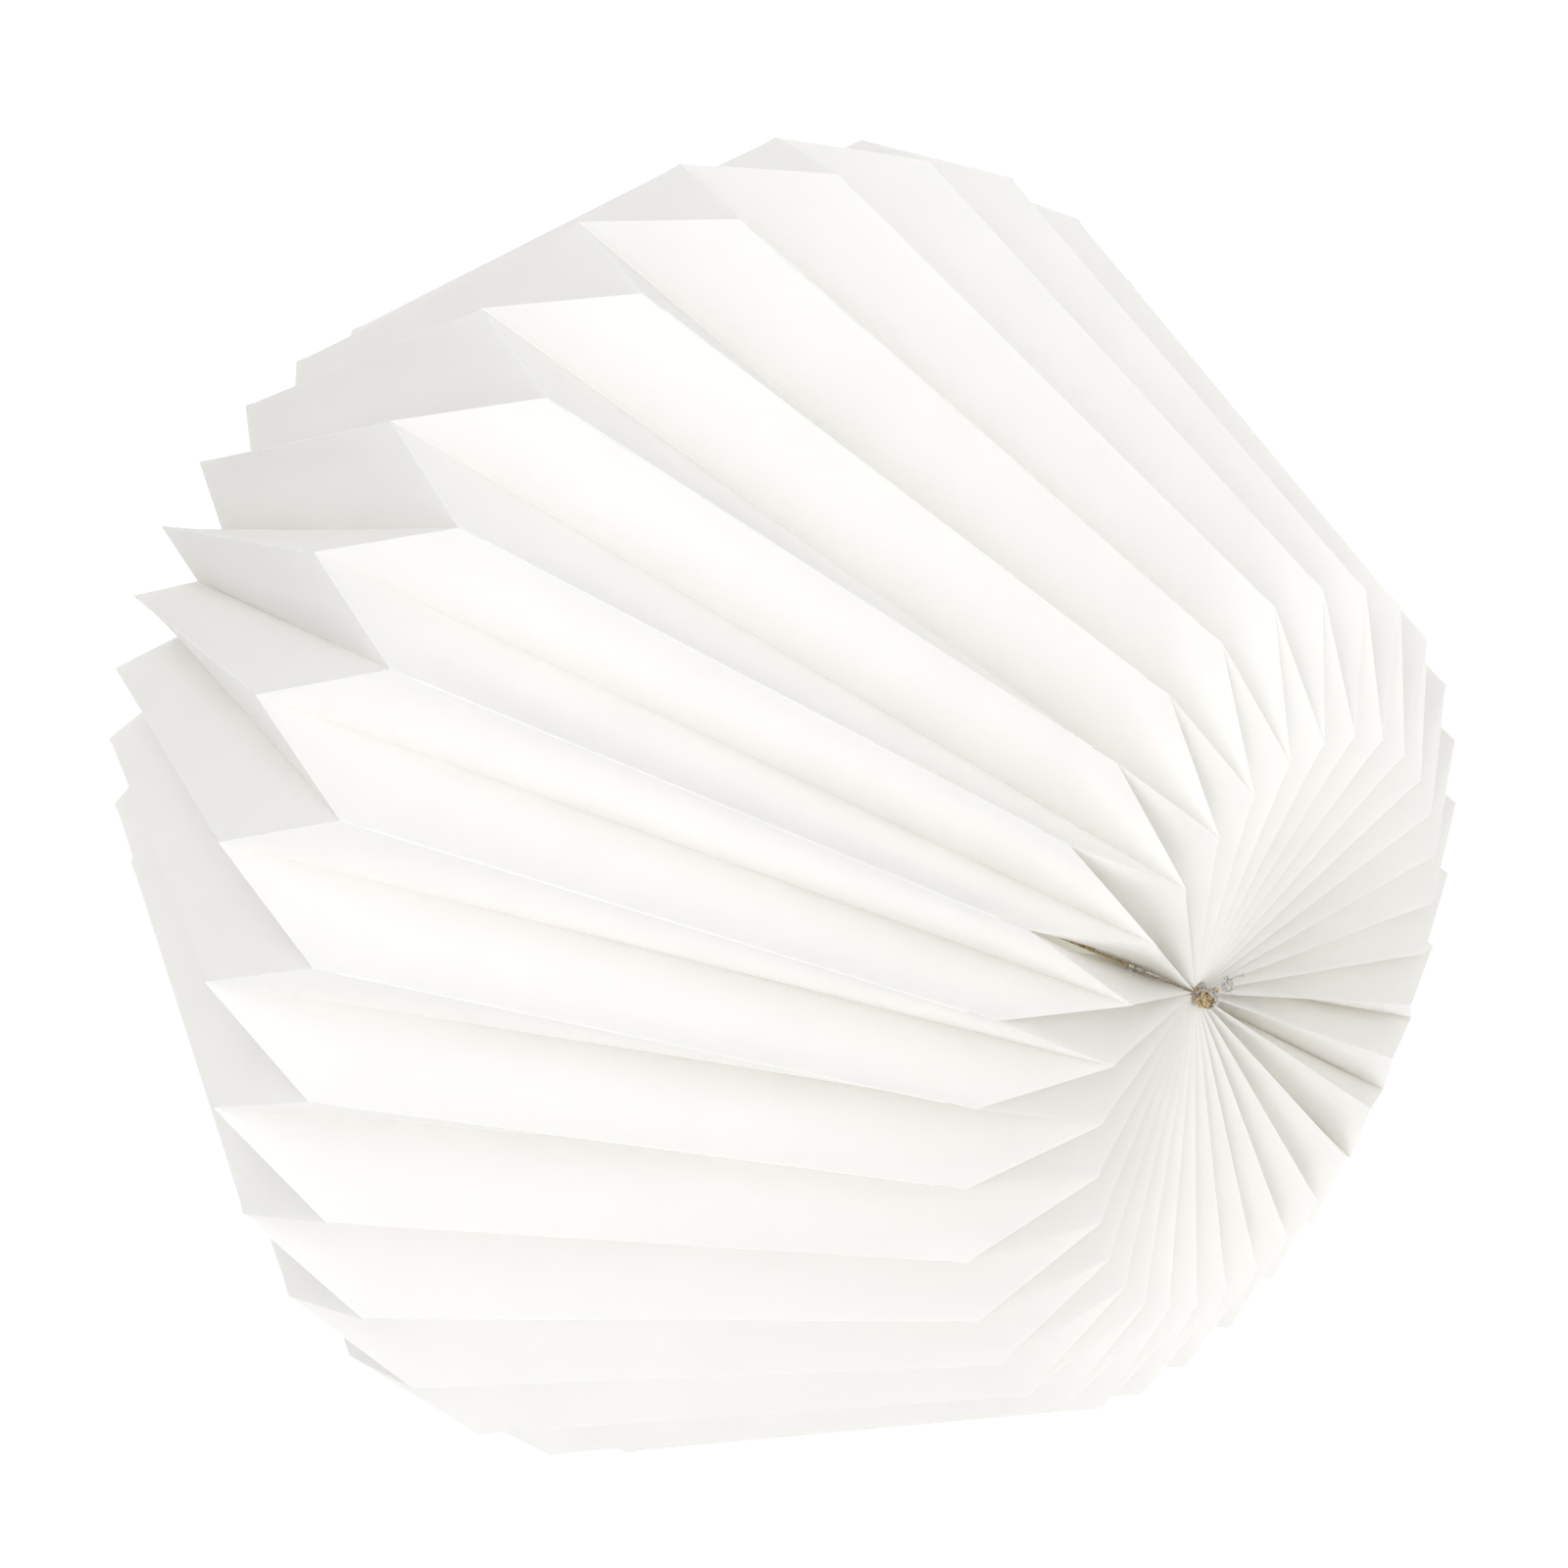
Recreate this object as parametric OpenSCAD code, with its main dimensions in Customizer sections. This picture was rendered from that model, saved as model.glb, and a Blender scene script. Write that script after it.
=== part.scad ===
// Accordion paper lantern: a pleated strip of glued paper sheets, gathered at both poles,
// hung on a cord that runs down its axis. Millimetres, +Z up, origin at the hanging ring's centre.

/* [Lantern] */
// widest radius, at the tips of the upper band's ridges
lantern_r = 150; // [100:5:250]
// pleats round the whole lantern
pleats = 32; // [24:2:40]
// pleats in one sheet
pleats_per_sheet = 2; // [1:1:4]
// height of the hanging ring's centre over the bottom pole
hang_height = 264; // [255:1:400]
// how unevenly the pleats are spread, degrees
pleat_drift = 1.7; // [0:0.1:3]

/* [Paper] */
// paper thickness
paper_t = 0.25; // [0.2:0.05:0.4]
// true width of one panel, crease to crease
panel_w = 21.2; // [15:0.1:30]
// glue line, also the room for the closing tape
glue_gap = 0.12; // [0.1:0.01:0.3]
// how far the closing seam gapes in the bottom cap
seam_gape = 1.5; // [0:0.1:2]

/* [Profile, radius and height over the bottom pole, as shares of the widest radius] */
// bottom ring: ridge of the cap
ring1_b = [0.405, -0.123]; // [0:0.001:2]
// bottom ring: ridge of the middle band
ring1_a = [0.594, -0.050]; // [0:0.001:2]
// widest ring: ridge of the middle band
ring2_a = [1.002, 0.683]; // [0:0.001:2]
// widest ring: ridge of the upper band
ring2_b = [1.000, 0.886]; // [0:0.001:2]
// top ring: ridge of the funnel
ring3_a = [0.444, 1.624]; // [0:0.001:2]
// top ring: ridge of the upper band
ring3_b = [0.583, 1.604]; // [0:0.001:2]
// radius at which the gathered paper is packed solid
pole_r = 2.7; // [2.5:0.1:5]
// dip of the bottom cap's pleats away from the pole, degrees
cap_dip = 17.5; // [0:0.5:40]
// fall of the top funnel towards its pole, degrees
funnel_fall = 43; // [0:0.5:60]

/* [Threads and cord] */
// gathering thread diameter
thread_d = 0.9; // [0.5:0.1:1.5]
// hanging cord diameter
cord_d = 1.2; // [0.8:0.1:2]
// height of the small crimp over the bottom pole
crimp_z = 15; // [8:0.5:25]
// crimp outer diameter
crimp_d = 3.4; // [3:0.1:5]
// crimp length
crimp_len = 3.2; // [2:0.1:6]
// diameter of the knot that carries the bottom pole
knot_d = 6.4; // [5.8:0.1:9]

/* [Hanging ring] */
// inner radius of the ring
ring_bore_r = 6; // [4:0.5:12]
// width and depth of the ring's section
ring_section = 2; // [1.5:0.1:3]
// chamfer on the ring's section
ring_chamfer = 0.3; // [0.1:0.1:0.5]
// width of the stirrup below the ring, between its legs' centres
stirrup_w = 6; // [5:0.5:8]
// height of the stirrup, from the ring's outside to its bar's centre
stirrup_h = 4; // [3.5:0.5:8]

/* [View] */
// sub-part to draw

/* [Hidden] */

white = [0.95, 0.95, 0.93];
gold = [0.75, 0.55, 0.22];
grey = [0.78, 0.76, 0.72];

lines = 2 * pleats;
step = 360 / lines;
lines_per_sheet = 2 * pleats_per_sheet;
convex = paper_t / 2;

// Both kinds of line in the radius-height plane, from the bottom pole to the top one.
b_start = [pole_r, 0];
a_start = b_start + panel_w * [sin(cap_dip), cos(cap_dip)];
a_end = [pole_r, ring3_a[1] * lantern_r - (ring3_a[0] * lantern_r - pole_r) * tan(funnel_fall)];
b_end = a_end + panel_w * [sin(funnel_fall), -cos(funnel_fall)];
a_pts = [a_start, ring1_a * lantern_r, ring2_a * lantern_r, ring3_a * lantern_r, a_end];
b_pts = [b_start, ring1_b * lantern_r, ring2_b * lantern_r, ring3_b * lantern_r, b_end];

// Stations along the strip: band number and share of that band. The second and third stations
// in each cap bound the holes that the gathering threads run through.
hole_lo = 0.055;
hole_hi = 0.115;
cap_f = [0, hole_lo, hole_hi, 0.3, 0.62];
band_f = [0, 0.06, 0.35, 0.65, 0.94];
funnel_f = [0, 0.38, 0.7, 1 - hole_hi, 1 - hole_lo, 1];
stations = concat(
  [for (f = cap_f) [0, f]], [for (f = band_f) [1, f]],
  [for (f = band_f) [2, f]], [for (f = funnel_f) [3, f]]
);
nv = len(stations) - 1;
hole_cells = [1, nv - 2];

// Shares of a panel's width where it is cut into columns, from one crease to the next. A sheet's
// last panel has two more, close to its last crease, where its glue flap leaves the inside skin.
flap_share = 0.4;
cols = [0, flap_share, 1 - flap_share];
flap_root = [0.9745, 0.992];
// The flap and the tape start this far from the crease.
crease_clear = 0.25;

function unit(v) = v / norm(v);
function lerp(a, b, f) = a + (b - a) * f;
function pts(kind) = kind == 0 ? a_pts : b_pts;
// Direction of a band on the outside, and its outward normal.
function band_n(kind, b) = let (d = unit(pts(kind)[b + 1] - pts(kind)[b])) [d[1], -d[0]];
// Creases alternate: true where a line is a ridge seen from outside.
function ridge(kind, b) = (kind + b) % 2 == 1;
// How far a line stands off on its concave side so that both panels keep the paper's thickness.
function concave(r) = let (s = 2 * PI * r / lines)
  (paper_t * (panel_w + convex) - convex * s) / (s + paper_t);
// Signed offset of a line's surface along the band normal: layer 0 is outside, 1 inside and
// 2 the fold itself.
function offs(kind, b, layer, r) =
  let (h = ridge(kind, b) == (layer == 0) ? convex : concave(r))
  layer == 2 ? 0 : layer == 0 ? h : -h;
function solve2(n1, d1, n2, d2) =
  let (q = n1[0] * n2[1] - n1[1] * n2[0])
  [(d1 * n2[1] - d2 * n1[1]) / q, (n1[0] * d2 - n2[0] * d1) / q];
// Radius and height of a line's surface at a station.
function line_rz(kind, layer, st) =
  let (b = st[0], f = st[1], p = pts(kind), m = lerp(p[b], p[b + 1], f), r = m[0])
  f == 0 && b > 0
  ? m + solve2(band_n(kind, b - 1), offs(kind, b - 1, layer, r),
               band_n(kind, b), offs(kind, b, layer, r))
  : m + band_n(kind, b) * offs(kind, b, layer, r);
function azimuth(i) = -90 + step * i + pleat_drift * (1 - cos(step * i));
// Tangential opening of the closing seam: only along the bottom cap, where it starts at the pole
// with a small share of the gape, bulges and closes again at the ring.
gape_start = 0.18;
gape_bulge = 3.4;
function gape(i, st) = let (f = st[1]) (i == 0 ? 1 : i == lines ? -1 : 0) *
  (st[0] == 0 ? seam_gape * (gape_start + gape_bulge * f * (1 - f)) * (1 - f * f) : 0);
function at(i, layer, st) =
  let (q = line_rz(abs(i) % 2, layer, st), th = azimuth(i) + gape(i, st) / q[0] * 180 / PI)
  [q[0] * cos(th), q[0] * sin(th), q[1] - hang_height];

// Share of a panel's width, from line i towards the line on that side, that its fold takes up.
function fold_share(i, side, layer, st) =
  let (a = at(i, 2, st), w = at(i + side, 2, st) - a) (at(i, layer, st) - a) * w / (w * w);
// A point at share u of the width of the panel after line i. In the caps both skins have theirs
// in step across the paper, so that the thread holes go straight through.
function on_panel(i, layer, st, u) =
  let (from = max(fold_share(i, 1, 0, st), fold_share(i, 1, 1, st)),
       to = 1 - max(fold_share(i + 1, -1, 0, st), fold_share(i + 1, -1, 1, st)),
       lo = fold_share(i, 1, layer, st), hi = 1 - fold_share(i + 1, -1, layer, st),
       k = st[0] == 0 || st[0] == 3 ? (lerp(from, to, u) - lo) / (hi - lo) : u)
  u == 0 ? at(i, layer, st) : lerp(at(i, layer, st), at(i + 1, layer, st), k);

// The skin inside the panel that follows line i, and its normal towards the lantern's inside.
function inner(i, v) = at(i, 1, stations[v]);
function inner_normal(i, side, v) =
  let (a = inner(i, v), u = inner(i + side, v) - a, w = inner(i, v + 1) - inner(i, v - 1),
       q = unit(cross(u, w)))
  q * (a - at(i, 0, stations[v])) > 0 ? q : -q;
// A point at distance e from that skin: near line i, or at the flap's width from it.
function near_line(i, v, e) =
  inner(i, v) + unit(inner(i + 1, v) - inner(i, v)) * crease_clear + inner_normal(i, 1, v) * e;
function at_flap_edge(i, v, e) =
  lerp(inner(i, v), inner(i + 1, v), flap_share) + inner_normal(i, 1, v) * e;
// Where the crease stands proud on the inside, the flap goes round it at the same distance.
function round_crease(i, v, e) =
  let (half = asin(2 * PI * line_rz(0, 1, stations[v])[0] / lines / panel_w))
  inner(i, v) + unit(inner_normal(i, 1, v) + inner_normal(i, -1, v)) * e / sin(half);
function flap_turn(i, v, e) =
  ridge(0, stations[v][0]) ? near_line(i, v, e) : round_crease(i, v, e);
function band_inside(band) = [for (v = [0 : nv]) if (stations[v][0] == band && stations[v][1] > 0) v];

// One sheet: a grid of cells between two skins, with the cells at the thread holes left out,
// and two glue flaps that grow from the inside skin and lie along the next sheet.
module pleated_sheet(first, count) {
  last = first + count;
  spec = concat(
    [for (p = [0 : count - 2]) for (u = cols) [first + p, u]],
    [for (u = concat(cols, flap_root)) [last - 1, u]], [[last, 0]]
  );
  nc = len(spec) - 1;
  skin = [for (layer = [0, 1]) for (c = [0 : nc]) for (v = [0 : nv])
    on_panel(spec[c][0], layer, stations[v], spec[c][1])];
  flap_rows = concat(band_inside(1), band_inside(2));
  flap_pts = [for (v = flap_rows) each [
    flap_turn(last, v, glue_gap + paper_t), at_flap_edge(last, v, glue_gap + paper_t),
    at_flap_edge(last, v, glue_gap), flap_turn(last, v, glue_gap)
  ]];
  function id(layer, c, v) = (layer * (nc + 1) + c) * (nv + 1) + v;
  function solid(c, v) = c >= 0 && c < nc && v >= 0 && v < nv &&
    !(spec[c][1] == flap_share && (v == hole_cells[0] || v == hole_cells[1]));
  // The flap's section at one row: its six points in order from the skin and back to it.
  function row_of(v) = search(v, flap_rows)[0];
  function section(v, j) =
    j == 0 ? id(1, nc - 2, v) : j == 5 ? id(1, nc - 1, v) : len(skin) + 4 * row_of(v) + j - 1;
  function in_flap(v) = let (b = stations[v]) (b[0] == 1 || b[0] == 2) && b[1] > 0 &&
    stations[v + 1][0] == b[0];
  function quad(a, b, c, d) = [[a, b, c], [a, c, d]];
  function quad_other(a, b, c, d) = [[a, b, d], [b, c, d]];
  faces = concat(
    [for (c = [0 : nc - 1]) for (v = [0 : nv - 1]) if (solid(c, v))
      each quad(id(0, c, v), id(0, c, v + 1), id(0, c + 1, v + 1), id(0, c + 1, v))],
    [for (c = [0 : nc - 1]) for (v = [0 : nv - 1]) if (solid(c, v) && !(c == nc - 2 && in_flap(v)))
      each quad(id(1, c, v), id(1, c + 1, v), id(1, c + 1, v + 1), id(1, c, v + 1))],
    [for (c = [0 : nc]) for (v = [0 : nv - 1]) if (solid(c, v) != solid(c - 1, v))
      each solid(c, v)
        ? quad(id(1, c, v), id(1, c, v + 1), id(0, c, v + 1), id(0, c, v))
        : quad(id(0, c, v), id(0, c, v + 1), id(1, c, v + 1), id(1, c, v))],
    [for (v = [0 : nv]) for (c = [0 : nc - 1]) if (solid(c, v) != solid(c, v - 1))
      each solid(c, v)
        ? quad(id(0, c, v), id(0, c + 1, v), id(1, c + 1, v), id(1, c, v))
        : quad(id(1, c, v), id(1, c + 1, v), id(0, c + 1, v), id(0, c, v))],
    [for (v = [0 : nv - 1]) if (in_flap(v)) for (j = [0 : 4])
      let (p = section(v, j), q = section(v, j + 1), r = section(v + 1, j + 1), s = section(v + 1, j))
      each j < 3 ? quad(p, q, r, s) : quad_other(p, q, r, s)],
    [for (band = [1, 2]) let (vs = band_inside(band), a = vs[0], z = vs[len(vs) - 1]) each concat(
      quad(section(a, 0), section(a, 5), section(a, 4), section(a, 1)),
      quad(section(a, 1), section(a, 4), section(a, 3), section(a, 2)),
      quad(section(z, 1), section(z, 4), section(z, 5), section(z, 0)),
      quad(section(z, 2), section(z, 3), section(z, 4), section(z, 1)))]
  );
  polyhedron(points = concat(skin, flap_pts), faces = faces, convexity = 20);
}

// A strip of tape between the first sheet's first panel and the last sheet's flap.
module seam_tape(band) {
  clear = 0.015; // off the paper on both sides
  vs = band_inside(band);
  n = len(vs);
  p = [for (v = vs) each [near_line(0, v, clear), at_flap_edge(0, v, clear),
                          at_flap_edge(0, v, glue_gap - clear), near_line(0, v, glue_gap - clear)]];
  function q(k, j) = 4 * k + j % 4;
  f = concat(
    [[q(0, 0), q(0, 1), q(0, 2)], [q(0, 0), q(0, 2), q(0, 3)]],
    [[q(n - 1, 2), q(n - 1, 1), q(n - 1, 0)], [q(n - 1, 3), q(n - 1, 2), q(n - 1, 0)]],
    [for (k = [0 : n - 2]) for (j = [0 : 3]) each j < 2
      ? [[q(k, j), q(k + 1, j), q(k + 1, j + 1)], [q(k, j), q(k + 1, j + 1), q(k, j + 1)]]
      : [[q(k, j), q(k + 1, j), q(k, j + 1)], [q(k + 1, j), q(k + 1, j + 1), q(k, j + 1)]]]
  );
  color([0.9, 0.88, 0.8]) polyhedron(points = p, faces = f, convexity = 4);
}

module sheet(n) {
  color(white) pleated_sheet((n - 1) * lines_per_sheet, lines_per_sheet);
}

module paper_01() { sheet(1); }
module paper_02() { sheet(2); }
module paper_03() { sheet(3); }
module paper_04() { sheet(4); }
module paper_05() { sheet(5); }
module paper_06() { sheet(6); }
module paper_07() { sheet(7); }
module paper_08() { sheet(8); }
module paper_09() { sheet(9); }
module paper_10() { sheet(10); }
module paper_11() { sheet(11); }
module paper_12() { sheet(12); }
module paper_13() { sheet(13); }
module paper_14() { sheet(14); }
module paper_15() { sheet(15); }
module paper_16() { sheet(16); }

module seam_tape_middle() { seam_tape(1); }
module seam_tape_upper() { seam_tape(2); }

// Hanging cord: a loop round the stirrup's bar, a lashing, one strand to the crimp, two below it.
loop_clear = 0.1;
bar_z = -ring_bore_r - ring_section - stirrup_h;
loop_r = ring_section / 2 + loop_clear + cord_d / 2;
cord_top = bar_z - loop_r;
bottom_pole = -hang_height;
top_pole = bottom_pole + a_end[1];
lash_r = 0.95 * cord_d;
lash_len = 4;
lash_drop = 0.2;
// The two strands lie a little apart, and run on into the bottom knot.
strand_x = 0.55 * cord_d;
strand_end = 1.5;
strand_join = 0.5;
// A socket is this much wider than the cord in it.
socket_play = 0.02;
module strand(h) { cylinder(d = cord_d, h = h, $fn = 20); }
module socket(h) { cylinder(d = cord_d + socket_play, h = h, $fn = 20); }
module hanging_cord() {
  color(gold) union() {
    translate([0, 0, bar_z]) rotate([0, 90, 0]) rotate_extrude($fn = 48)
      translate([loop_r, 0]) circle(d = cord_d, $fn = 20);
    translate([0, 0, cord_top - lash_drop - lash_len]) cylinder(r = lash_r, h = lash_len, $fn = 24);
    translate([0, 0, bottom_pole + crimp_z]) strand(cord_top - bottom_pole - crimp_z);
    for (sx = [-1, 1]) translate([sx * strand_x, 0, bottom_pole - strand_end])
      strand(strand_end + crimp_z + strand_join);
  }
}
module cord_crimp() {
  edge = 0.4;
  r = crimp_d / 2;
  play = 0.01;
  color([0.93, 0.92, 0.88]) difference() {
    translate([0, 0, bottom_pole + crimp_z - crimp_len / 2]) rotate_extrude($fn = 32)
      polygon([[0, 0], [r - edge, 0], [r, edge], [r, crimp_len - edge], [r - edge, crimp_len],
               [0, crimp_len]]);
    translate([0, 0, bottom_pole + crimp_z]) socket(crimp_len);
    for (sx = [-1, 1]) translate([sx * strand_x, 0, bottom_pole + crimp_z - crimp_len])
      socket(crimp_len + strand_join + play);
  }
}
// A knot drawn as three turns of cord round a core, with a socket for the strands it ties off.
knot_cord = 1.1 * cord_d;
knot_tilt = [9, 7];
knot_waist = 0.5;
module turned_knot(strands) {
  core_r = knot_d / 2 - 0.7 * knot_cord;
  pitch = 0.85 * knot_cord;
  difference() {
    union() {
      cylinder(r = core_r, h = 2.6 * knot_cord, center = true, $fn = 32);
      for (k = [-1, 0, 1]) translate([0, 0, k * pitch]) rotate([k * knot_tilt[0], knot_tilt[1], 0])
        rotate_extrude($fn = 40) translate([(knot_d - knot_cord) / 2 - abs(k) * knot_waist, 0])
          circle(d = knot_cord, $fn = 16);
    }
    if (strands == 2) for (sx = [-1, 1]) translate([sx * strand_x, 0, 0]) socket(knot_d);
    if (strands == 1) translate([0, 0, -knot_d]) socket(2 * knot_d);
  }
}
pole_knot_drop = 2.2;
top_knot_rise = 2.4;
module pole_knot() {
  color(gold) translate([0, 0, bottom_pole - pole_knot_drop]) turned_knot(2);
}
module top_stop_knot() {
  color(gold) translate([0, 0, top_pole + top_knot_rise]) turned_knot(1);
}

// Gathering threads run through the middle of the punched holes in every panel.
function hole_mid(v) = let (c = [for (layer = [0, 1]) for (k = [v, v + 1]) for (u = [cols[1], cols[2]])
    on_panel(2, layer, stations[k], u)], m = [1, 1, 1, 1, 1, 1, 1, 1] * c / 8)
  [norm([m[0], m[1]]), m[2]];
thread_bottom = hole_mid(hole_cells[0]);
thread_top = hole_mid(hole_cells[1]);
module thread_ring(q) {
  color(grey) translate([0, 0, q[1]]) rotate_extrude($fn = 96)
    translate([q[0], 0]) circle(d = thread_d, $fn = 16);
}
// Tied ends of a gathering thread: a small knot of two turns with two short tails.
tie_r = 1.0;
tie_tilt = 35;
tie_twist = 60;
tail_d = 0.8 * thread_d;
tail_start = 0.6;
tail_len = 3.4;
tail_aim = [[60, 24], [84, -44]];
module thread_knot() {
  color(grey) union() {
    for (k = [0, 1]) rotate([(2 * k - 1) * tie_tilt, 0, tie_twist * k]) rotate_extrude($fn = 32)
      translate([tie_r, 0]) circle(d = thread_d, $fn = 14);
    for (aim = tail_aim) rotate([0, aim[0], aim[1]]) translate([0, 0, tail_start])
      cylinder(d = tail_d, h = tail_len, $fn = 14);
  }
}
tie_out = 4.6;
tie_turn = 38;
tie_drop = 3.0;
tie_rise = 4.7;
module gather_thread_bottom() { thread_ring(thread_bottom); }
module gather_thread_top() { thread_ring(thread_top); }
module gather_knot_bottom() {
  rotate(tie_turn) translate([tie_out, 0, bottom_pole - tie_drop]) rotate([180, 0, 0])
    thread_knot();
}
module gather_knot_top() {
  rotate(tie_turn) translate([tie_out, 0, top_pole + tie_rise]) thread_knot();
}

// Ring for the hook, with a small stirrup below it whose round bar the cord's loop turns on.
stirrup_sink = 0.8;
module hanging_ring() {
  h = ring_section / 2;
  c = ring_chamfer;
  color(gold) union() {
    rotate([90, 0, 0]) rotate_extrude($fn = 96) translate([ring_bore_r + h, 0])
      polygon([[-h, -h + c], [-h + c, -h], [h - c, -h], [h, -h + c],
               [h, h - c], [h - c, h], [-h + c, h], [-h, h - c]]);
    for (sx = [-1, 1]) translate([sx * stirrup_w / 2, 0, bar_z])
      cylinder(r = h, h = stirrup_h + stirrup_sink, $fn = 24);
    translate([-stirrup_w / 2, 0, bar_z]) rotate([0, 90, 0]) cylinder(r = h, h = stirrup_w, $fn = 24);
    for (sx = [-1, 1]) translate([sx * stirrup_w / 2, 0, bar_z]) sphere(r = h, $fn = 24);
  }
}

paper_01();
paper_02();
paper_03();
paper_04();
paper_05();
paper_06();
paper_07();
paper_08();
paper_09();
paper_10();
paper_11();
paper_12();
paper_13();
paper_14();
paper_15();
paper_16();
seam_tape_middle();
seam_tape_upper();
hanging_cord();
cord_crimp();
pole_knot();
top_stop_knot();
gather_thread_bottom();
gather_knot_bottom();
gather_thread_top();
gather_knot_top();
hanging_ring();
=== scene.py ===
"""Looks for the accordion paper lantern: pleated paper, twisted cord and thread, brass, light, camera."""
import math

import bpy
from mathutils import Euler, Matrix, Vector


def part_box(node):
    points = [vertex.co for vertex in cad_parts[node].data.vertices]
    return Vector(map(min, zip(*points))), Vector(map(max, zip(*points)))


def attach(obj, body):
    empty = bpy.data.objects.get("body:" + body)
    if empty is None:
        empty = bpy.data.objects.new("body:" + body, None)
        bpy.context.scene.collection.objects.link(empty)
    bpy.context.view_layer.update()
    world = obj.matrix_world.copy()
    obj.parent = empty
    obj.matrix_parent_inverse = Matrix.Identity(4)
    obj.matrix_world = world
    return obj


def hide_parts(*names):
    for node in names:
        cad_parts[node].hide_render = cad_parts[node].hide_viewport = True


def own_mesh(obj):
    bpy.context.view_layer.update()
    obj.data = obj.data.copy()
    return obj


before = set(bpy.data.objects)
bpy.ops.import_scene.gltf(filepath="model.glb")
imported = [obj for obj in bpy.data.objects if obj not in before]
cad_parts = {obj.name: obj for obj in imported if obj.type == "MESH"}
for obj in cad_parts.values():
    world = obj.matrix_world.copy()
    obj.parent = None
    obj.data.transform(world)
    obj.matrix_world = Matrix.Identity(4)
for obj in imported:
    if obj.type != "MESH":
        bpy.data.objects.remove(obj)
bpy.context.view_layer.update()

# The lantern's driving sizes, in metres, as in the CAD part.
LANTERN_R = 0.150
PLEATS = 32
SHEETS = 16
HANG_HEIGHT = 0.264
PLEAT_DRIFT = 1.7
PAPER_T = 0.00025
PANEL_W = 0.0212
GLUE_GAP = 0.00012
SEAM_GAPE = 0.0015
POLE_R = 0.0027
CAP_DIP = math.radians(17.5)
FUNNEL_FALL = math.radians(43)
RING_A = [(0.594, -0.050), (1.002, 0.683), (0.444, 1.624)]
RING_B = [(0.405, -0.123), (1.000, 0.886), (0.583, 1.604)]
HOLE_LO = 0.055
HOLE_HI = 0.115
FLAP_SHARE = 0.4
LINES = 2 * PLEATS
STEP = 360 / LINES
LINES_PER_SHEET = LINES // SHEETS

# How fine the visual paper is, how far its folds are blunted, and how far a panel bows in an S.
CREASE_BLUNT = 0.0003
S_BEND = 0.0005
COLUMNS = 10
ROWS = (22, 26, 26, 22)
# Share of a panel's width between a fold and the first column beside it.
NEAR = 0.014
U_STEPS = [0, NEAR] + [k / COLUMNS for k in range(1, COLUMNS)] + [1 - NEAR]
FLAP_STEPS = [NEAR, 0.1, 0.2, 0.3, FLAP_SHARE]
HOLE_COLUMN = U_STEPS.index(FLAP_SHARE)

# Paper's white, the warmer light that comes through it, and how much of it does.
PAPER_WHITE = (0.975, 0.975, 0.972)
PAPER_THROUGH = (0.99, 0.974, 0.935)
THROUGH_SHARE = 0.22

# Layers of a sheet: outside skin 0, inside skin 1, and the fold itself.
MIDDLE = 2


def profile():
    """Radius and height of both kinds of line from the bottom pole to the top one."""
    a_ring = [Vector(p) * LANTERN_R for p in RING_A]
    b_ring = [Vector(p) * LANTERN_R for p in RING_B]
    b_start = Vector((POLE_R, 0))
    a_start = b_start + PANEL_W * Vector((math.sin(CAP_DIP), math.cos(CAP_DIP)))
    fall = (a_ring[2].x - POLE_R) * math.tan(FUNNEL_FALL)
    a_end = Vector((POLE_R, a_ring[2].y - fall))
    b_end = a_end + PANEL_W * Vector((math.sin(FUNNEL_FALL), -math.cos(FUNNEL_FALL)))
    return [a_start, *a_ring, a_end], [b_start, *b_ring, b_end]


PROFILE = profile()


def is_ridge(kind, band):
    return (kind + band) % 2 == 1


def outward(kind, band):
    along = (PROFILE[kind][band + 1] - PROFILE[kind][band]).normalized()
    return Vector((along.y, -along.x))


def stand_off(kind, band, layer, r):
    """Distance of a line's surface from the line, so that both panels keep the paper's thickness."""
    if layer == MIDDLE:
        return 0
    convex = PAPER_T / 2
    s = 2 * math.pi * r / LINES
    concave = (PAPER_T * (PANEL_W + convex) - convex * s) / (s + PAPER_T)
    h = convex if is_ridge(kind, band) == (layer == 0) else concave
    return h if layer == 0 else -h


def line_point(kind, layer, band, share):
    """Radius and height of a line's surface at a share of a band."""
    a, b = PROFILE[kind][band], PROFILE[kind][band + 1]
    m = a.lerp(b, share)
    n2 = outward(kind, band)
    d2 = stand_off(kind, band, layer, m.x)
    if share == 0 and band > 0:
        n1 = outward(kind, band - 1)
        d1 = stand_off(kind, band - 1, layer, m.x)
        q = n1.x * n2.y - n1.y * n2.x
        return m + Vector(((d1 * n2.y - d2 * n1.y) / q, (n1.x * d2 - n2.x * d1) / q))
    return m + n2 * d2


def azimuth(i):
    turn = math.radians(STEP * i)
    return math.radians(-90 + STEP * i + PLEAT_DRIFT * (1 - math.cos(turn)))


def gape(i, band, share):
    side = 1 if i == 0 else -1 if i == LINES else 0
    if band != 0:
        return 0
    return side * SEAM_GAPE * (0.18 + 3.4 * share * (1 - share)) * (1 - share * share)


def line_at(i, layer, band, share):
    q = line_point(i % 2, layer, band, share)
    th = azimuth(i) + gape(i, band, share) / q.x
    return Vector((q.x * math.cos(th), q.x * math.sin(th), q.y - HANG_HEIGHT))


def stations():
    """Band and share of band at each row, with rows on both edges of the thread holes."""
    found = []
    for band in range(4):
        shares = {k / ROWS[band] for k in range(ROWS[band])}
        if band == 0:
            shares |= {HOLE_LO, HOLE_HI}
        if band == 3:
            shares |= {1 - HOLE_LO, 1 - HOLE_HI, 1.0}
        found += [(band, s) for s in sorted(shares)]
    return found


STATIONS = stations()


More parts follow.
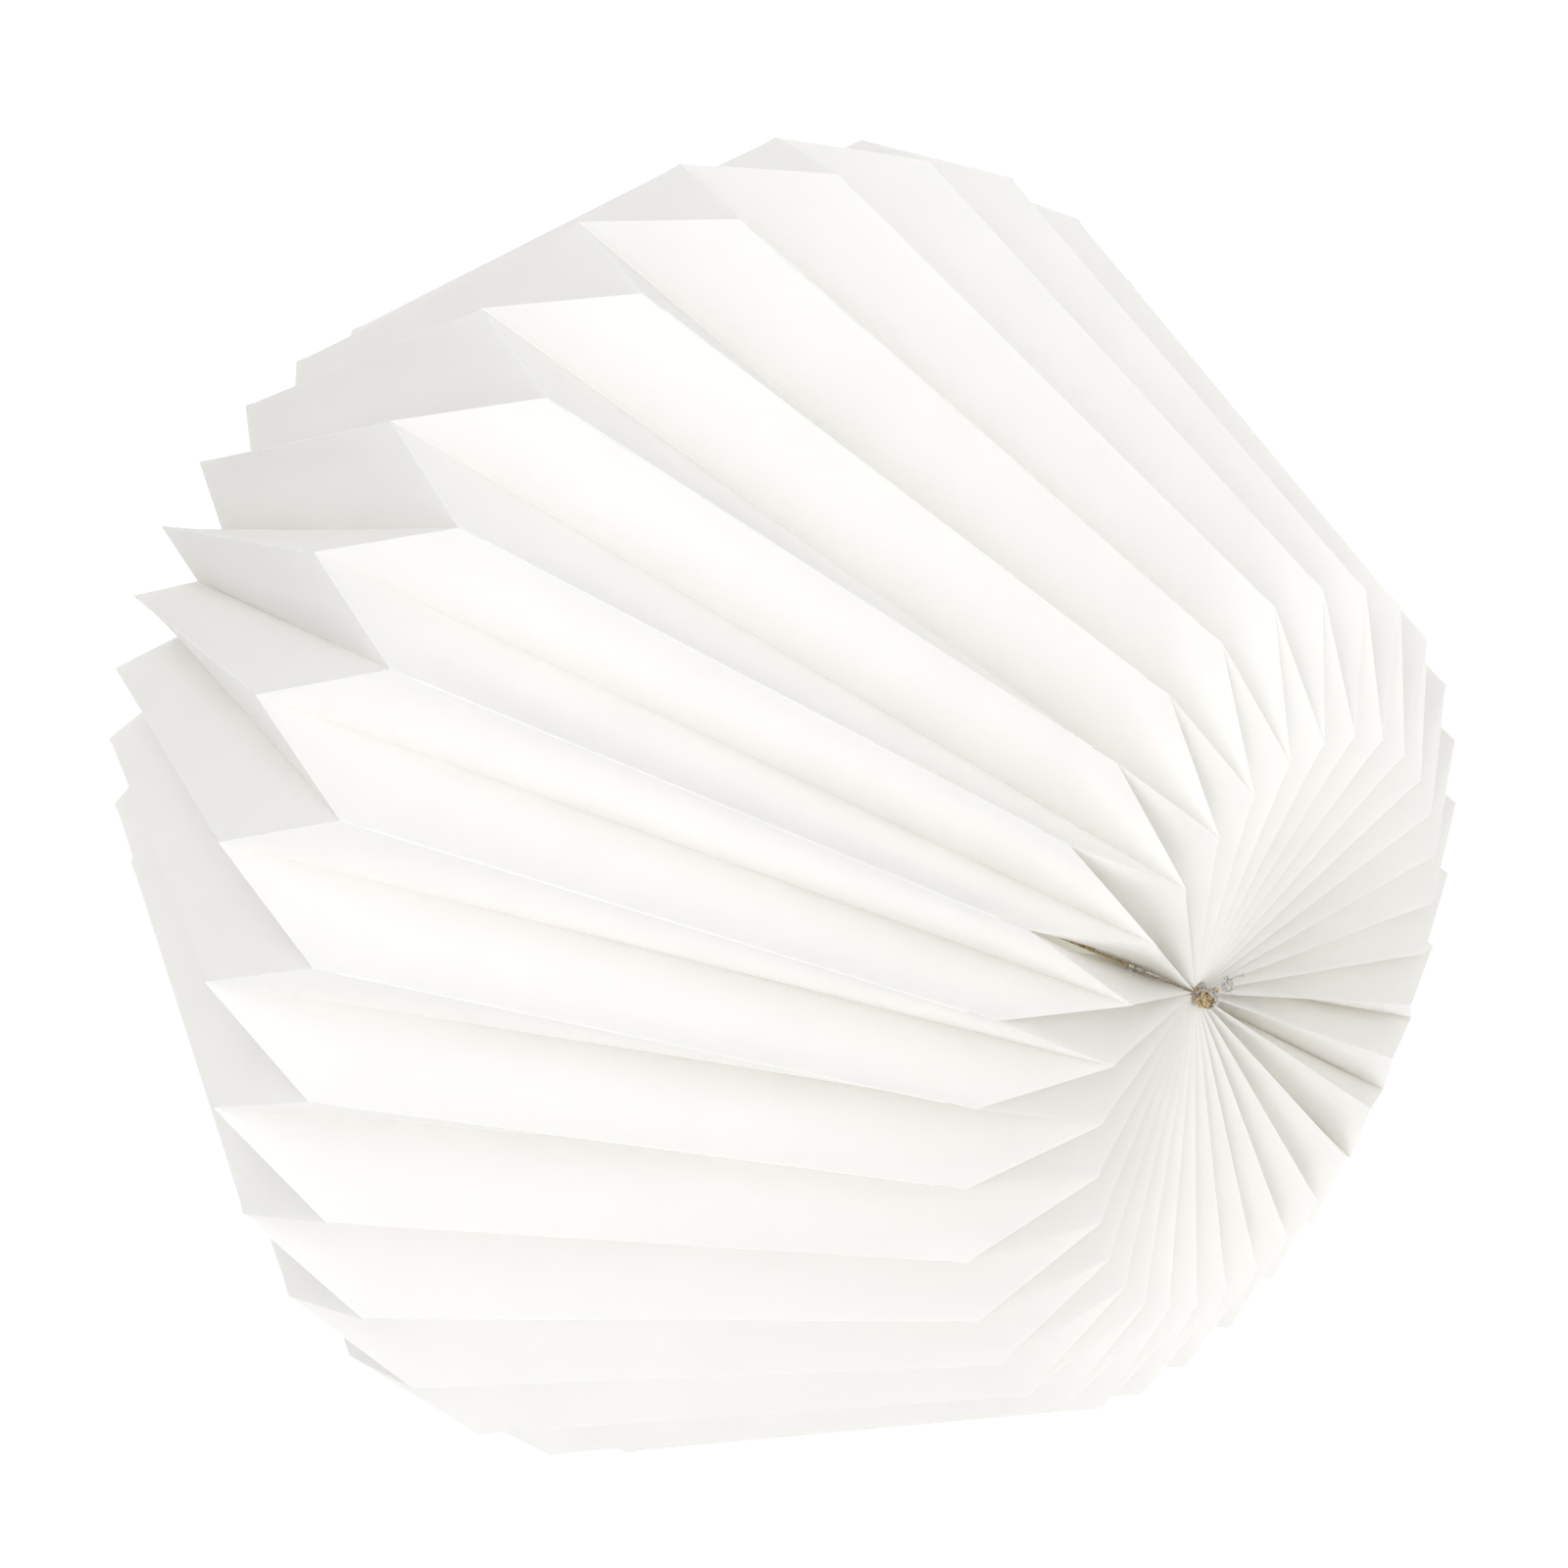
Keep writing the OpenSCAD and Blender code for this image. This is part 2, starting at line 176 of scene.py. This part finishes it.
def line_jitter(i):
    """Hand-made unevenness of a line, in radians, the same on both sheets that share it."""
    k = i % LINES
    if k == 0:
        return 0.0
    return math.radians(0.16) * (math.sin(2.3 * k) + math.sin(5.1 * k + 1.0)) / 2


def panel_bend(i):
    """How far a panel bows in an S between its creases, in metres."""
    return S_BEND * (1 + 0.45 * math.sin(3.7 * (i % LINES) + 0.6))


def fade(band, share):
    """1 along a band's middle, 0 at the cross creases, where the folds hold the paper flat."""
    return math.sin(math.pi * share) ** 0.6 if 0 < share < 1 else 0.0


def line_plain(i, layer, band, share):
    """A line's surface point with its unevenness, which fades out towards the poles."""
    p = line_at(i, layer, band, share)
    turn = line_jitter(i) * min(1.0, p.xy.length / 0.03)
    c, s = math.cos(turn), math.sin(turn)
    return Vector((c * p.x - s * p.y, s * p.x + c * p.y, p.z))


def crease_point(i, layer, band, share):
    """A line's surface point, with the sharp side of the fold blunted."""
    p = line_plain(i, layer, band, share)
    if 0 < share < 1 and is_ridge(i % 2, band) == (layer == 0):
        n = outward(i % 2, band)
        th = math.atan2(p.y, p.x)
        way = Vector((n.x * math.cos(th), n.x * math.sin(th), n.y))
        blunt = CREASE_BLUNT * min(1.0, p.xy.length / 0.05)
        p -= way * (blunt if layer == 0 else -blunt)
    return p


def fold_share(i, side, layer, band, share):
    """Share of a panel's width, from line i towards the line on that side, that its fold takes up."""
    a = line_plain(i, MIDDLE, band, share)
    w = line_plain(i + side, MIDDLE, band, share) - a
    return (line_plain(i, layer, band, share) - a).dot(w) / w.dot(w)


def in_step(i, u, layer, band, share):
    """In the caps both skins have their columns in step, so that thread holes go straight through."""
    start = max(fold_share(i, 1, k, band, share) for k in (0, 1))
    end = 1 - max(fold_share(i + 1, -1, k, band, share) for k in (0, 1))
    lo = fold_share(i, 1, layer, band, share)
    hi = 1 - fold_share(i + 1, -1, layer, band, share)
    return (start + (end - start) * u - lo) / (hi - lo)


def surface(i, u, layer, row):
    """A point of the panel after line i, at a share u of its width and a row of the strip."""
    band, share = STATIONS[row]
    if u == 0:
        return crease_point(i, layer, band, share)
    if band in (0, 3):
        u = in_step(i, u, layer, band, share)
    a = line_plain(i, layer, band, share)
    b = line_plain(i + 1, layer, band, share)
    across = (b - a).normalized()
    d = 1e-3
    s2 = share + d if share + d < 1 else share - d
    along = line_plain(i, layer, band, s2) - a
    if s2 < share:
        along = -along
    n = across.cross(along)
    if n.length < 1e-12:
        return a.lerp(b, u)
    n.normalize()
    rise = 1 if is_ridge(i % 2, band) else -1
    size = panel_bend(i) * fade(band, share) * min(1.0, a.xy.length / 0.05)
    bend = -rise * size * math.sin(2 * math.pi * u)
    if n.dot(Vector((a.x, a.y, 0)).normalized() * outward(i % 2, band).x
             + Vector((0, 0, outward(i % 2, band).y))) < 0:
        n = -n
    return a.lerp(b, u) + n * bend


def flap_rows(band):
    return [r for r, (b, s) in enumerate(STATIONS) if b == band and 0.06 <= s <= 0.94]


def lifted(i, u, row, e):
    """A point at distance e inside the panel after line i."""
    here = surface(i, u, 1, row)
    across = surface(i, u + 0.02, 1, row) - here
    band, share = STATIONS[row]
    along = surface(i, u, 1, row + 1) - here
    n = across.cross(along).normalized()
    if n.dot(here - surface(i, u, 0, row)) < 0:
        n = -n
    return here + n * e


class Builder:
    """Collects points and faces of one closed mesh."""

    def __init__(self):
        self.points = []
        self.faces = []

    def add(self, p):
        self.points.append(tuple(p))
        return len(self.points) - 1

    def quad(self, a, b, c, d):
        self.faces.append((a, b, c, d))

    def make(self, name, smooth_angle=25):
        mesh = bpy.data.meshes.new(name)
        mesh.from_pydata(self.points, [], self.faces)
        mesh.validate()
        mesh.shade_smooth()
        mesh.set_sharp_from_angle(angle=math.radians(smooth_angle))
        obj = bpy.data.objects.new(name, mesh)
        bpy.context.scene.collection.objects.link(obj)
        return obj


def paper_sheet(number):
    """One sheet: two skins, walls round its edge and thread holes, and two glue flaps."""
    first = (number - 1) * LINES_PER_SHEET
    last = first + LINES_PER_SHEET
    spec = [(i, u) for i in range(first, last) for u in U_STEPS] + [(last, 0)]
    nc, nv = len(spec) - 1, len(STATIONS) - 1
    build = Builder()
    hole_u = (U_STEPS[HOLE_COLUMN], U_STEPS[HOLE_COLUMN + 2])
    ids = [[[build.add(surface(i, u, layer, v)) for v in range(nv + 1)] for i, u in spec]
           for layer in (0, 1)]
    rows = [(b, round(s, 4)) for b, s in STATIONS]
    hole_rows = set()
    for band, lo, hi in ((0, HOLE_LO, HOLE_HI), (3, 1 - HOLE_HI, 1 - HOLE_LO)):
        hole_rows |= {r for r, (b, s) in enumerate(rows) if b == band and lo <= s < hi}
    flap = {b: flap_rows(b) for b in (1, 2)}
    open_cells = {v for b in flap for v in flap[b][:-1]}

    def solid(c, v):
        if not (0 <= c < nc and 0 <= v < nv):
            return False
        u = spec[c][1]
        return not (v in hole_rows and hole_u[0] <= u < hole_u[1])

    for c in range(nc):
        for v in range(nv):
            if not solid(c, v):
                continue
            o, n = ids
            build.quad(o[c][v], o[c][v + 1], o[c + 1][v + 1], o[c + 1][v])
            if not (c == nc - 1 and v in open_cells):
                build.quad(n[c][v], n[c + 1][v], n[c + 1][v + 1], n[c][v + 1])
    for c in range(nc + 1):
        for v in range(nv):
            if solid(c, v) != solid(c - 1, v):
                a, b = (ids[1], ids[0]) if solid(c, v) else (ids[0], ids[1])
                build.quad(a[c][v], a[c][v + 1], b[c][v + 1], b[c][v])
    for v in range(nv + 1):
        for c in range(nc):
            if solid(c, v) != solid(c, v - 1):
                a, b = (ids[0], ids[1]) if solid(c, v) else (ids[1], ids[0])
                build.quad(a[c][v], a[c + 1][v], b[c + 1][v], b[c][v])
    for band, vs in flap.items():
        sections = []
        for v in vs:
            hi = [build.add(lifted(last, u, v, GLUE_GAP + PAPER_T)) for u in FLAP_STEPS]
            lo = [build.add(lifted(last, u, v, GLUE_GAP)) for u in reversed(FLAP_STEPS)]
            sections.append([ids[1][nc - 1][v], *hi, *lo, ids[1][nc][v]])
        for s, t in zip(sections, sections[1:]):
            for j in range(len(s) - 1):
                build.quad(s[j], s[j + 1], t[j + 1], t[j])
        m = len(sections[0])
        for j in range(m // 2 - 1):
            s, t = sections[0], sections[-1]
            build.quad(s[j], s[m - 1 - j], s[m - 2 - j], s[j + 1])
            build.quad(t[j + 1], t[m - 2 - j], t[m - 1 - j], t[j])
    return build.make(f"paper_sheet_{number:02d}")


def tape_strip(band, name):
    """Closing tape between the first sheet's first panel and the last sheet's flap."""
    build = Builder()
    clear = 0.000015
    steps = [NEAR, 0.1, 0.2, 0.3, FLAP_SHARE]
    sections = []
    for v in flap_rows(band):
        lo = [build.add(lifted(0, u, v, clear)) for u in steps]
        hi = [build.add(lifted(0, u, v, GLUE_GAP - clear)) for u in reversed(steps)]
        sections.append(lo + hi)
    m = len(sections[0])
    for s, t in zip(sections, sections[1:]):
        for j in range(m):
            k = (j + 1) % m
            build.quad(s[j], t[j], t[k], s[k])
    for j in range(m // 2 - 1):
        s, t = sections[0], sections[-1]
        build.quad(s[j], s[j + 1], s[m - 2 - j], s[m - 1 - j])
        build.quad(t[m - 1 - j], t[m - 2 - j], t[j + 1], t[j])
    return build.make(name)


def twisted_strands(name, path, cord_r, plies, pitch, sides=8):
    """A laid cord: plies wound round a path of points. One closed tube for each ply."""
    build = Builder()
    strand_r = cord_r / (1 + 1 / math.sin(math.pi / plies)) if plies > 1 else cord_r
    orbit = cord_r - strand_r
    closed = (path[0] - path[-1]).length < 1e-9
    pts = path[:-1] if closed else path
    count = len(pts)
    tangents = []
    for k in range(count):
        a = pts[k - 1] if closed or k > 0 else pts[k]
        b = pts[(k + 1) % count] if closed or k < count - 1 else pts[k]
        tangents.append((b - a).normalized())
    normal = tangents[0].orthogonal().normalized()
    frames, travelled = [], 0.0
    for k in range(count):
        if k:
            travelled += (pts[k] - pts[k - 1]).length
            normal = (normal - tangents[k] * normal.dot(tangents[k])).normalized()
        frames.append((pts[k], tangents[k], normal.copy(), travelled))
    total = travelled + ((pts[0] - pts[-1]).length if closed else 0)
    turns = max(1, round(total / pitch)) if closed else total / pitch
    slip = 0.0
    if closed:
        back = (normal - tangents[0] * normal.dot(tangents[0])).normalized()
        first = frames[0][2]
        slip = math.atan2(first.cross(back).dot(tangents[0]), first.dot(back))
    for ply in range(plies):
        rings = []
        for p, t, n, s in frames:
            turn = 2 * math.pi * (turns * s / total + ply / plies) - slip * s / total
            b = t.cross(n)
            centre = p + (n * math.cos(turn) + b * math.sin(turn)) * orbit
            rings.append([build.add(centre + (n * math.cos(q) + b * math.sin(q)) * strand_r)
                          for q in (2 * math.pi * j / sides + turn for j in range(sides))])
        spans = len(rings) if closed else len(rings) - 1
        for k in range(spans):
            r, q = rings[k], rings[(k + 1) % len(rings)]
            shift = 0
            if closed and k == len(rings) - 1:
                end = Vector(build.points[r[0]])
                shift = min(range(sides), key=lambda j: (Vector(build.points[q[j]]) - end).length)
            for j in range(sides):
                a, b2 = r[j], r[(j + 1) % sides]
                c, d = q[(j + 1 + shift) % sides], q[(j + shift) % sides]
                build.quad(a, b2, c, d)
        if not closed:
            build.faces.append(tuple(reversed(rings[0])))
            build.faces.append(tuple(rings[-1]))
    return build.make(name, 60)


def straight(a, b, step):
    a, b = Vector(a), Vector(b)
    n = max(2, int((b - a).length / step))
    return [a.lerp(b, k / n) for k in range(n + 1)]


def arc(centre, radius, u, v, start, stop, count):
    """Points on a circle in the plane of u and v, angles in degrees."""
    out = []
    for k in range(count + 1):
        q = math.radians(start + (stop - start) * k / count)
        out.append(Vector(centre) + Vector(u) * radius * math.cos(q) + Vector(v) * radius * math.sin(q))
    return out


def smooth(points, count):
    """A Catmull-Rom curve through points, sampled evenly enough for a cord."""
    pts = [points[0], *points, points[-1]]
    out = []
    for k in range(1, len(pts) - 2):
        p0, p1, p2, p3 = pts[k - 1:k + 3]
        for j in range(count):
            t = j / count
            out.append(0.5 * ((2 * p1) + (p2 - p0) * t + (2 * p0 - 5 * p1 + 4 * p2 - p3) * t * t
                              + (3 * p1 - p0 - 3 * p2 + p3) * t ** 3))
    out.append(points[-1])
    return out


def material(name, colour, rough):
    mat = bpy.data.materials.new(name)
    mat.use_nodes = True
    bsdf = mat.node_tree.nodes["Principled BSDF"]
    bsdf.inputs["Base Color"].default_value = (*colour, 1)
    bsdf.inputs["Roughness"].default_value = rough
    return mat, mat.node_tree, bsdf


def noise(tree, scale, detail, stretch=(1, 1, 1)):
    """Noise in the piece's own coordinates, which are metres."""
    place = tree.nodes.new("ShaderNodeTexCoord")
    mapping = tree.nodes.new("ShaderNodeMapping")
    mapping.inputs["Scale"].default_value = stretch
    tex = tree.nodes.new("ShaderNodeTexNoise")
    tex.inputs["Scale"].default_value = scale
    tex.inputs["Detail"].default_value = detail
    tree.links.new(place.outputs["Object"], mapping.inputs["Vector"])
    tree.links.new(mapping.outputs["Vector"], tex.inputs["Vector"])
    return tex


def ramp(tree, source, stops):
    node = tree.nodes.new("ShaderNodeValToRGB")
    while len(node.color_ramp.elements) > len(stops):
        node.color_ramp.elements.remove(node.color_ramp.elements[-1])
    while len(node.color_ramp.elements) < len(stops):
        node.color_ramp.elements.new(0.5)
    for element, (at, colour) in zip(node.color_ramp.elements, stops):
        element.position = at
        element.color = (*colour, 1)
    tree.links.new(source, node.inputs["Fac"])
    return node


def bump(tree, bsdf, height, strength, distance, under=None):
    node = tree.nodes.new("ShaderNodeBump")
    node.inputs["Strength"].default_value = strength
    node.inputs["Distance"].default_value = distance
    tree.links.new(height, node.inputs["Height"])
    if under is not None:
        tree.links.new(under.outputs["Normal"], node.inputs["Normal"])
    tree.links.new(node.outputs["Normal"], bsdf.inputs["Normal"])
    return node


def paper_material():
    """Matte white drawing paper: cloudy felt tone, fine tooth, and some light let through from behind."""
    mat, tree, bsdf = material("white_paper", PAPER_WHITE, 0.86)
    cloud = noise(tree, 60, 4)
    darker = tuple(c * 0.985 for c in PAPER_WHITE)
    tone = ramp(tree, cloud.outputs["Fac"], [(0.3, darker), (0.7, PAPER_WHITE)])
    tree.links.new(tone.outputs["Color"], bsdf.inputs["Base Color"])
    tooth = noise(tree, 2600, 3)
    felt = noise(tree, 320, 3)
    first = bump(tree, bsdf, felt.outputs["Fac"], 0.10, 0.0004)
    last = bump(tree, bsdf, tooth.outputs["Fac"], 0.12, 0.00006, under=first)
    gloss = ramp(tree, felt.outputs["Fac"], [(0.2, (0.80, 0.80, 0.80)), (0.8, (0.92, 0.92, 0.92))])
    tree.links.new(gloss.outputs["Color"], bsdf.inputs["Roughness"])
    bsdf.inputs["Specular IOR Level"].default_value = 0.25
    through = tree.nodes.new("ShaderNodeBsdfTranslucent")
    through.inputs["Color"].default_value = (*PAPER_THROUGH, 1)
    tree.links.new(last.outputs["Normal"], through.inputs["Normal"])
    mix = tree.nodes.new("ShaderNodeMixShader")
    mix.inputs["Fac"].default_value = THROUGH_SHARE
    tree.links.new(bsdf.outputs["BSDF"], mix.inputs[1])
    tree.links.new(through.outputs["BSDF"], mix.inputs[2])
    tree.links.new(mix.outputs["Shader"], tree.nodes["Material Output"].inputs["Surface"])
    return mat


def fibre_material(name, dark, light, rough, metal=0.0):
    """Twisted fibre: streaks of light and dark along the strands, with a fuzzy surface."""
    mat, tree, bsdf = material(name, light, rough)
    streak = noise(tree, 1500, 4)
    tone = ramp(tree, streak.outputs["Fac"], [(0.3, dark), (0.7, light)])
    tree.links.new(tone.outputs["Color"], bsdf.inputs["Base Color"])
    fuzz = noise(tree, 9000, 2)
    bump(tree, bsdf, fuzz.outputs["Fac"], 0.5, 0.00008)
    bsdf.inputs["Metallic"].default_value = metal
    return mat


def brass_material():
    mat, tree, bsdf = material("brass", (0.78, 0.57, 0.27), 0.28)
    wear = noise(tree, 900, 5, (1, 1, 6))
    tone = ramp(tree, wear.outputs["Fac"], [(0.3, (0.66, 0.46, 0.20)), (0.7, (0.82, 0.62, 0.31))])
    tree.links.new(tone.outputs["Color"], bsdf.inputs["Base Color"])
    rough = ramp(tree, wear.outputs["Fac"], [(0.3, (0.22, 0.22, 0.22)), (0.7, (0.40, 0.40, 0.40))])
    tree.links.new(rough.outputs["Color"], bsdf.inputs["Roughness"])
    bump(tree, bsdf, wear.outputs["Fac"], 0.15, 0.0001)
    bsdf.inputs["Metallic"].default_value = 1.0
    return mat


def plain_plastic(name, low, high, rough):
    mat, tree, bsdf = material(name, high, rough)
    mottle = noise(tree, 1200, 3)
    tone = ramp(tree, mottle.outputs["Fac"], [(0.3, low), (0.7, high)])
    tree.links.new(tone.outputs["Color"], bsdf.inputs["Base Color"])
    bump(tree, bsdf, mottle.outputs["Fac"], 0.2, 0.00008)
    return mat


def dress(obj, mat):
    obj.data.materials.clear()
    obj.data.materials.append(mat)


paper = paper_material()
gold = fibre_material("gold_cord", (0.40, 0.29, 0.15), (0.78, 0.62, 0.37), 0.5)
grey = fibre_material("grey_thread", (0.50, 0.48, 0.45), (0.82, 0.80, 0.76), 0.75)
tape_mat = plain_plastic("tape", (0.80, 0.78, 0.72), (0.88, 0.86, 0.80), 0.6)
crimp_mat = plain_plastic("crimp_white", (0.82, 0.81, 0.78), (0.92, 0.91, 0.88), 0.45)
brass = brass_material()


def fold_with_sheet(obj, number):
    """obj rides on its sheet's body, with a mesh of its own."""
    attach(obj, f"sheet_{number:02d}")
    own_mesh(obj)


for number in range(1, SHEETS + 1):
    sheet = paper_sheet(number)
    dress(sheet, paper)
    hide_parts(f"paper_{number:02d}")
    fold_with_sheet(sheet, number)

for band, part in ((1, "middle"), (2, "upper")):
    strip = tape_strip(band, f"closing_tape_{part}")
    dress(strip, tape_mat)
    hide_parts(f"seam_tape_{part}")
    fold_with_sheet(strip, SHEETS)

# Cord, crimp, knots and threads, all on the axis.
KNOT_TURN = math.radians(43)
KNOT_NARROW = 0.62
CORD_R = 0.0006
STRAND_X = 0.00066
CRIMP_Z = 0.015
bottom = -HANG_HEIGHT
BAR_R = 0.001
bar_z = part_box("hanging_ring")[0].z + BAR_R
loop_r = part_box("hanging_cord")[1].z - bar_z - CORD_R


def cord_piece(name, path, radius, plies, pitch, mat, slot_name, body, *nodes):
    obj = twisted_strands(name, path, radius, plies, pitch)
    dress(obj, mat)
    if nodes:
        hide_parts(*nodes)
    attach(obj, body)
    return obj


def join(name, parts):
    """Several closed meshes as one piece."""
    build = Builder()
    for part in parts:
        base = len(build.points)
        build.points += [tuple(v.co) for v in part.data.vertices]
        build.faces += [tuple(base + k for k in f.vertices) for f in part.data.polygons]
        bpy.data.objects.remove(part)
    return build.make(name, 60)


# Length of one twist of the cord, distance between its rings, and how far its legs pass the pole.
CORD_TWIST = 0.0036
CORD_STEP = 0.0008
LEG_PAST = 0.0015
main_line = straight((0, 0, bottom + CRIMP_Z), (0, 0, bar_z - loop_r), CORD_STEP)
loop = arc((0, 0, bar_z), loop_r, (0, 1, 0), (0, 0, 1), -90, 270, 60)

# Thin lashing wound round the cord below its loop.
LASH_R = 0.00088
LASH_THREAD_R = 0.00035
LASH_TWIST = 0.0018
LASH_LEN = 0.0032
LASH_TURNS = 4
LASH_POINTS = 96
lashing = []
for k in range(LASH_POINTS + 1):
    q = k / LASH_POINTS
    turn = 2 * math.pi * LASH_TURNS * q
    lashing.append(Vector((LASH_R * math.cos(turn), LASH_R * math.sin(turn),
                           bar_z - loop_r - CORD_R - LASH_LEN * q)))
parts = [twisted_strands("line", main_line, CORD_R, 3, CORD_TWIST),
         twisted_strands("loop", loop, CORD_R, 3, CORD_TWIST),
         twisted_strands("lash", lashing, LASH_THREAD_R, 2, LASH_TWIST)]
for x in (-STRAND_X, STRAND_X):
    leg = straight((x, 0, bottom - LEG_PAST), (x, 0, bottom + CRIMP_Z), CORD_STEP)
    parts.append(twisted_strands("leg", leg, CORD_R, 3, CORD_TWIST))
cord = join("cord_down_the_axis", parts)
dress(cord, gold)
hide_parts("hanging_cord")
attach(cord, "core")


def knot_path(centre, size, flat, narrow=1.0, turns=2, lobes=3, count=150):
    """A trefoil: the path of an overhand knot pulled down on itself, longest along KNOT_TURN."""
    lay = Matrix.Rotation(KNOT_TURN, 3, "Z")
    wave = 0.42
    out = []
    for k in range(count + 1):
        t = 2 * math.pi * k / count
        r = (1 + wave * math.cos(lobes * t)) / (1 + wave)
        out.append(Vector(centre) + lay @ Vector((size * r * math.cos(turns * t),
                                                  narrow * size * r * math.sin(turns * t),
                                                  flat * math.sin(lobes * t))))
    out[-1] = out[0].copy()
    return out


def winding(centre, radius, turns, pitch, count=90):
    """Thread wound round a knot, across its long way."""
    lay = Matrix.Rotation(KNOT_TURN, 3, "Z")
    out = []
    for k in range(count + 1):
        q = k / count - 0.5
        turn = 2 * math.pi * turns * q
        out.append(Vector(centre) + lay @ Vector((turns * pitch * q, radius * math.cos(turn),
                                                  radius * math.sin(turn))))
    return out


KNOT_FLAT = 0.0011
KNOT_TWIST = 0.0030
knot_low, knot_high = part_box("pole_knot")
knot_size = (knot_high.x - knot_low.x) / 2 - CORD_R
knot_mids = {}
for end, name, node in (("bottom", "knot_at_pole", "pole_knot"), ("top", "knot_over_top", "top_stop_knot")):
    low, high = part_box(node)
    knot_mids[end] = (low + high) / 2
    path = knot_path(knot_mids[end], knot_size, KNOT_FLAT, KNOT_NARROW)
    cord_piece(name, path, CORD_R, 3, KNOT_TWIST, gold, "gold_cord", "core", node)

THREAD_R = 0.00045
THREAD_TWIST = 0.002
TAIL_R = 0.8 * THREAD_R
# The thread's tied ends are drawn in this far towards the pole.
TIE_PULL = 0.0008
for end in ("bottom", "top"):
    low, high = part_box(f"gather_thread_{end}")
    radius = (high.x - low.x) / 2 - THREAD_R
    circle = arc((0, 0, (low.z + high.z) / 2), radius, (1, 0, 0), (0, 1, 0), 0, 360, 260)
    circle[-1] = circle[0].copy()
    cord_piece(f"thread_round_{end}", circle, THREAD_R, 2, 0.0022, grey, "grey_thread", "core",
               f"gather_thread_{end}")
    low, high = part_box(f"gather_knot_{end}")
    c = (low + high) / 2
    c -= Vector((c.x, c.y, 0)).normalized() * TIE_PULL
    spread = (high.x - low.x) / 2 - THREAD_R
    tied = knot_path(c, min(spread, 0.0016), 0.0007, count=110)
    tails = []
    for q, length in ((0.4, 1.0), (-1.1, 0.85)):
        out = Vector((math.cos(q), math.sin(q), -0.25))
        middle = c + out * 0.0026 * length + Vector((0, 0, -0.0004))
        tip = c + out * 0.0034 * length + Vector((0, 0.0004, -0.0011))
        tails.append(smooth([c.copy(), c + out * 0.0012, middle, tip], 10))
    wound = winding(knot_mids[end], KNOT_NARROW * knot_size + CORD_R, 2.5, 0.0008)
    knot = join(f"thread_knot_{end}", [twisted_strands("tied", tied, 0.9 * THREAD_R, 2, THREAD_TWIST),
                                       twisted_strands("wound", wound, TAIL_R, 2, THREAD_TWIST)]
                + [twisted_strands("tail", t, TAIL_R, 2, THREAD_TWIST) for t in tails])
    dress(knot, grey)
    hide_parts(f"gather_knot_{end}")
    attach(knot, "core")

dress(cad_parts["cord_crimp"], crimp_mat)
dress(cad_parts["hanging_ring"], brass)

# Camera, floor and light: the camera's place in metres, its XYZ turn in degrees, its lens in mm.
CAMERA_PLACE = (0.0083, -0.5815, -0.5525)
CAMERA_TURN = (151.479, 49.497, 54.506)
LENS = 71.9
camera_data = bpy.data.cameras.new("camera")
camera_data.lens = LENS
camera_data.sensor_width = 36
camera_data.clip_end = 50
camera = bpy.data.objects.new("camera", camera_data)
camera.location = CAMERA_PLACE
camera.rotation_euler = Euler([math.radians(q) for q in CAMERA_TURN])
bpy.context.scene.collection.objects.link(camera)
bpy.context.scene.camera = camera

FLOOR_DROP = 1.6
FLOOR_HALF = 6
FLOOR_CORNERS = [(x * FLOOR_HALF, y * FLOOR_HALF) for x, y in ((-1, -1), (1, -1), (1, 1), (-1, 1))]
floor_build = Builder()
corners = [floor_build.add((x, y, -FLOOR_DROP)) for x, y in FLOOR_CORNERS]
floor_build.quad(*corners)
floor = floor_build.make("floor")
floor_mat = material("floor", (0.86, 0.86, 0.86), 0.9)[0]
floor.data.materials.append(floor_mat)

# A white studio, brighter behind the lantern than around the camera.
ROOM_FRONT = 0.64
ROOM_BACK = 1.4
world = bpy.data.worlds.new("studio")
bpy.context.scene.world = world
world.use_nodes = True
room = world.node_tree
toward = room.nodes.new("ShaderNodeTexCoord")
axes = room.nodes.new("ShaderNodeSeparateXYZ")
spread = room.nodes.new("ShaderNodeMapRange")
spread.inputs["From Min"].default_value = 0.0
spread.inputs["From Max"].default_value = 0.5
spread.inputs["To Min"].default_value = ROOM_FRONT
spread.inputs["To Max"].default_value = ROOM_BACK
room.links.new(toward.outputs["Generated"], axes.inputs["Vector"])
room.links.new(axes.outputs["Y"], spread.inputs["Value"])
room.nodes["Background"].inputs["Color"].default_value = (1, 1, 1, 1)
room.links.new(spread.outputs["Result"], room.nodes["Background"].inputs["Strength"])

# Softboxes round the camera: where each stands, and its power in watts.
SOFTBOX = 1.6
SOFTBOXES = {
    "front": ((0.0, -1.6, -1.3), 7),
    "high": ((0.9, -1.9, 0.2), 8),
    "low": ((-1.0, -0.75, -1.6), 15),
}


def softbox(name, place, power):
    data = bpy.data.lights.new(name, "AREA")
    data.shape = "DISK"
    data.size = SOFTBOX
    data.energy = power
    obj = bpy.data.objects.new(name, data)
    obj.location = place
    aim = Vector((0, 0, -HANG_HEIGHT / 2)) - Vector(place)
    obj.rotation_euler = aim.to_track_quat("-Z", "Y").to_euler()
    bpy.context.scene.collection.objects.link(obj)


for name, (place, power) in SOFTBOXES.items():
    softbox(name, place, power)
bpy.context.scene.view_settings.view_transform = "Standard"
bpy.context.scene.cycles.max_bounces = 48
bpy.context.scene.cycles.diffuse_bounces = 48
bpy.context.scene.cycles.transmission_bounces = 48
